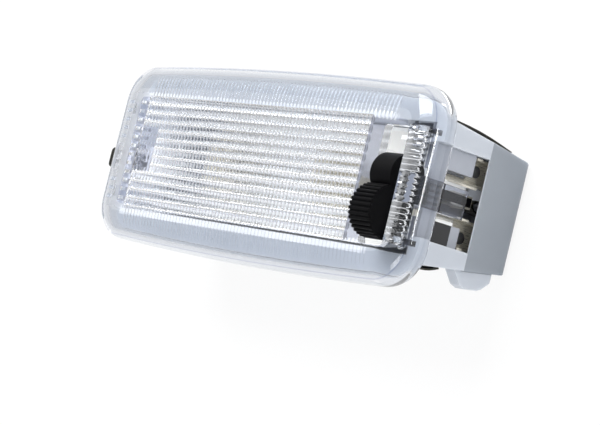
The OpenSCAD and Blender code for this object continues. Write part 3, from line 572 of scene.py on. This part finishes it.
def paint_lens(lens):
    """The rim is thicker, and the ribbed and cut faces are less polished than the outside. The faces that are not
    polished carry painted shade, a darker tint: the rim, the ribbed inner face, the frosted far end, the land and
    pad, the teeth, and the tongue, which also darkens the light through it.
    """
    lens.data.materials.clear()
    for mat in (
        MATERIALS["lens"],
        clear("lens_inner_face_painted_shade", (0.76, 0.78, 0.85), (0.08, 0.13)),
        clear("lens_rim_painted_shade", (0.72, 0.745, 0.79), (0.02, 0.06)),
        clear("lens_frosted_face_painted_shade", (0.64, 0.67, 0.74), (0.28, 0.4)),
        clear("lens_land_painted_shade", (0.40, 0.43, 0.56), (0.08, 0.14)),
        toothed_clear("lens_teeth_painted_shade", (0.12, 0.13, 0.16), (0.02, 0.024, 0.035), (0.12, 0.2)),
        clear("lens_tongue", (0.55, 0.58, 0.68), (0.02, 0.05), through_color=(0.34, 0.37, 0.45)),
    ):
        lens.data.materials.append(mat)
    # Slots in order; every slot but the polished one holds painted shade
    polished, inner_face, rim, frosted, plain_land, toothed, painted_shade_tongue = range(7)
    count = len(lens.data.polygons)
    centres = np.zeros(count * 3)
    lens.data.polygons.foreach_get("center", centres)
    x, y, z = (centres.reshape(-1, 3) / MM).T
    by_teeth = abs(y) < TOOTHED_HALF + 0.2
    by_end_ribs = abs(y) < 14.5
    over_panel = (abs(y) < FLUTES * FLUTE_PITCH / 2 + 0.1) & (x > -FLUTE_FAR - 0.1) & (x < FLUTE_NEAR + 0.1)
    ribbed = over_panel & (z < FACE_IN - 0.02) & (z > FACE_IN - 1.2)
    on_face = z > FACE_OUT - 0.05
    walls = (z > FACE_IN - 0.3) & ~on_face & (abs(x - SLOT_X) < SLOT_W / 2 + 0.1) & (abs(y + 1) < 13.2)
    land = (abs(z - FACE_IN) < 0.06) & ~over_panel
    far_end = (x < -47.0) & (x > -55.9) & (z < FACE_IN + 0.05) & by_end_ribs
    # Angle on the rim's shoulder from the face's inset, which rim_inset gives the other way
    angle = np.arccos(1 - (np.clip(LENGTH / 2 - x, 0, SHOULDER) / SHOULDER) ** (1 / 1.6))
    below_skin = z < SEAT + HEIGHT * (0.3 + 0.7 * np.sin(angle)) - 0.7
    teeth = (x > SLOT_X + SLOT_W / 2 - 0.5) & (x < LENGTH / 2 - 2.9) & by_teeth & (z > 32.2) & below_skin
    tongue = (x > 52.0) & (x < 54.8) & (z < 32.3) & (abs(y) < 5)
    rib_tops = (x < -44.0) & (x > -55.6) & ((abs(z - ROW_Z) < 0.05) | (abs(z - PAD_ROW_Z) < 0.05)) & by_end_ribs
    pad = ((abs(z - PAD_Z) < 0.05) & (x < PAD_END + 0.1) & (x > -FLUTE_FAR - 0.4)
           & (y > PAD_LOW - 0.1) & (y < PAD_HIGH + 0.1))
    choice = np.select([tongue, on_face | rib_tops, walls, teeth, land | pad, far_end, ribbed, over_panel],
                       [painted_shade_tongue, polished, rim, toothed, plain_land, frosted, inner_face, polished], rim)
    lens.data.polygons.foreach_set("material_index", choice.astype(np.int32))


lens = lens_piece()
paint_lens(lens)
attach(lens, "lamp_body")
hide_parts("lens")

clip = clip_strip()
clip.data.materials.append(MATERIALS["steel"])
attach(clip, "panel_clip")
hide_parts("retaining_clip")


# ---------- stage, lights, camera ----------

def darker_above(tree, glow):
    """Grades the glow from white near the ground to grey overhead, for all but camera rays."""
    fall = remap(tree, position(tree, "Generated")["Z"], 0.1, 0.75, 1.0, 0.3)
    path = tree.nodes.new("ShaderNodeLightPath").outputs
    tree.links.new(math_node(tree, "MAXIMUM", path["Is Camera Ray"], fall), glow.inputs["Strength"])


def camera_level(tree, surface, lit_share, graded=False):
    """Mixes a white glow of strength 1 into a surface for camera, glossy and transmission rays."""
    path = tree.nodes.new("ShaderNodeLightPath").outputs
    seen = math_node(tree, "MAXIMUM", path["Is Camera Ray"], path["Is Glossy Ray"])
    seen = math_node(tree, "MAXIMUM", seen, path["Is Transmission Ray"])
    share = math_node(tree, "MULTIPLY", seen, 1 - lit_share)
    glow = tree.nodes.new("ShaderNodeEmission")
    glow.inputs["Color"].default_value = (1, 1, 1, 1)
    glow.inputs["Strength"].default_value = 1.0
    if graded:
        darker_above(tree, glow)
    return mix_shaders(tree, share, surface, glow.outputs[0])


floor = add_mesh("floor", [(-FLOOR_HALF, -FLOOR_HALF, 0), (FLOOR_HALF, -FLOOR_HALF, 0),
                           (FLOOR_HALF, FLOOR_HALF, 0), (-FLOOR_HALF, FLOOR_HALF, 0)], [(0, 1, 2, 3)])
floor_mat, tree, bsdf = new_material("floor_white")
bsdf.inputs["Base Color"].default_value = (0.93, 0.93, 0.93, 1)
bsdf.inputs["Roughness"].default_value = 0.9
bsdf.inputs["Specular IOR Level"].default_value = 0.1
tree.links.new(camera_level(tree, bsdf.outputs[0], 0.12), tree.nodes["Material Output"].inputs["Surface"])
floor.data.materials.append(floor_mat)

world = bpy.data.worlds.new("studio")
bpy.context.scene.world = world
world.use_nodes = True
tree = world.node_tree
for node in list(tree.nodes):
    tree.nodes.remove(node)
out = tree.nodes.new("ShaderNodeOutputWorld")
soft = tree.nodes.new("ShaderNodeBackground")
soft.inputs["Color"].default_value = (0.96, 0.98, 1.0, 1)
soft.inputs["Strength"].default_value = 0.55
tree.links.new(camera_level(tree, soft.outputs[0], 0.1, graded=True), out.inputs["Surface"])


def lamp(name, place, size, power):
    """Soft box that faces the middle of the light."""
    data = bpy.data.lights.new(name, "AREA")
    data.shape = "RECTANGLE"
    data.size, data.size_y = size
    data.energy = power
    obj = bpy.data.objects.new(name, data)
    bpy.context.scene.collection.objects.link(obj)
    obj.location = place
    obj.rotation_euler = (Vector((0, 0, 0.025)) - Vector(place)).to_track_quat("-Z", "Y").to_euler()


lamp("key", (-0.15, 0.55, 0.75), (0.7, 0.5), 8.5)
lamp("fill", (0.3, -0.55, 0.7), (0.5, 0.4), 2.7)
lamp("edge", (0.55, 0.06, 0.17), (0.09, 0.09), 0.45)

# Camera, fitted to the photograph
cam_data = bpy.data.cameras.new("camera")
cam_data.lens = 126.0
cam_data.sensor_width = 36.0
cam_data.clip_start = 0.01
camera = bpy.data.objects.new("camera", cam_data)
bpy.context.scene.collection.objects.link(camera)
right = Vector((0.6199, 0.2376, -0.7479))
down = Vector((0.0905, -0.9683, -0.2327))
ahead = Vector((-0.7795, 0.0765, -0.6217))
camera.rotation_mode = "QUATERNION"
camera.rotation_quaternion = Matrix((right, -down, -ahead)).transposed().to_quaternion()
camera.location = (0.3833, -0.0450, 0.3234)
bpy.context.scene.camera = camera
bpy.context.scene.view_settings.view_transform = "Standard"
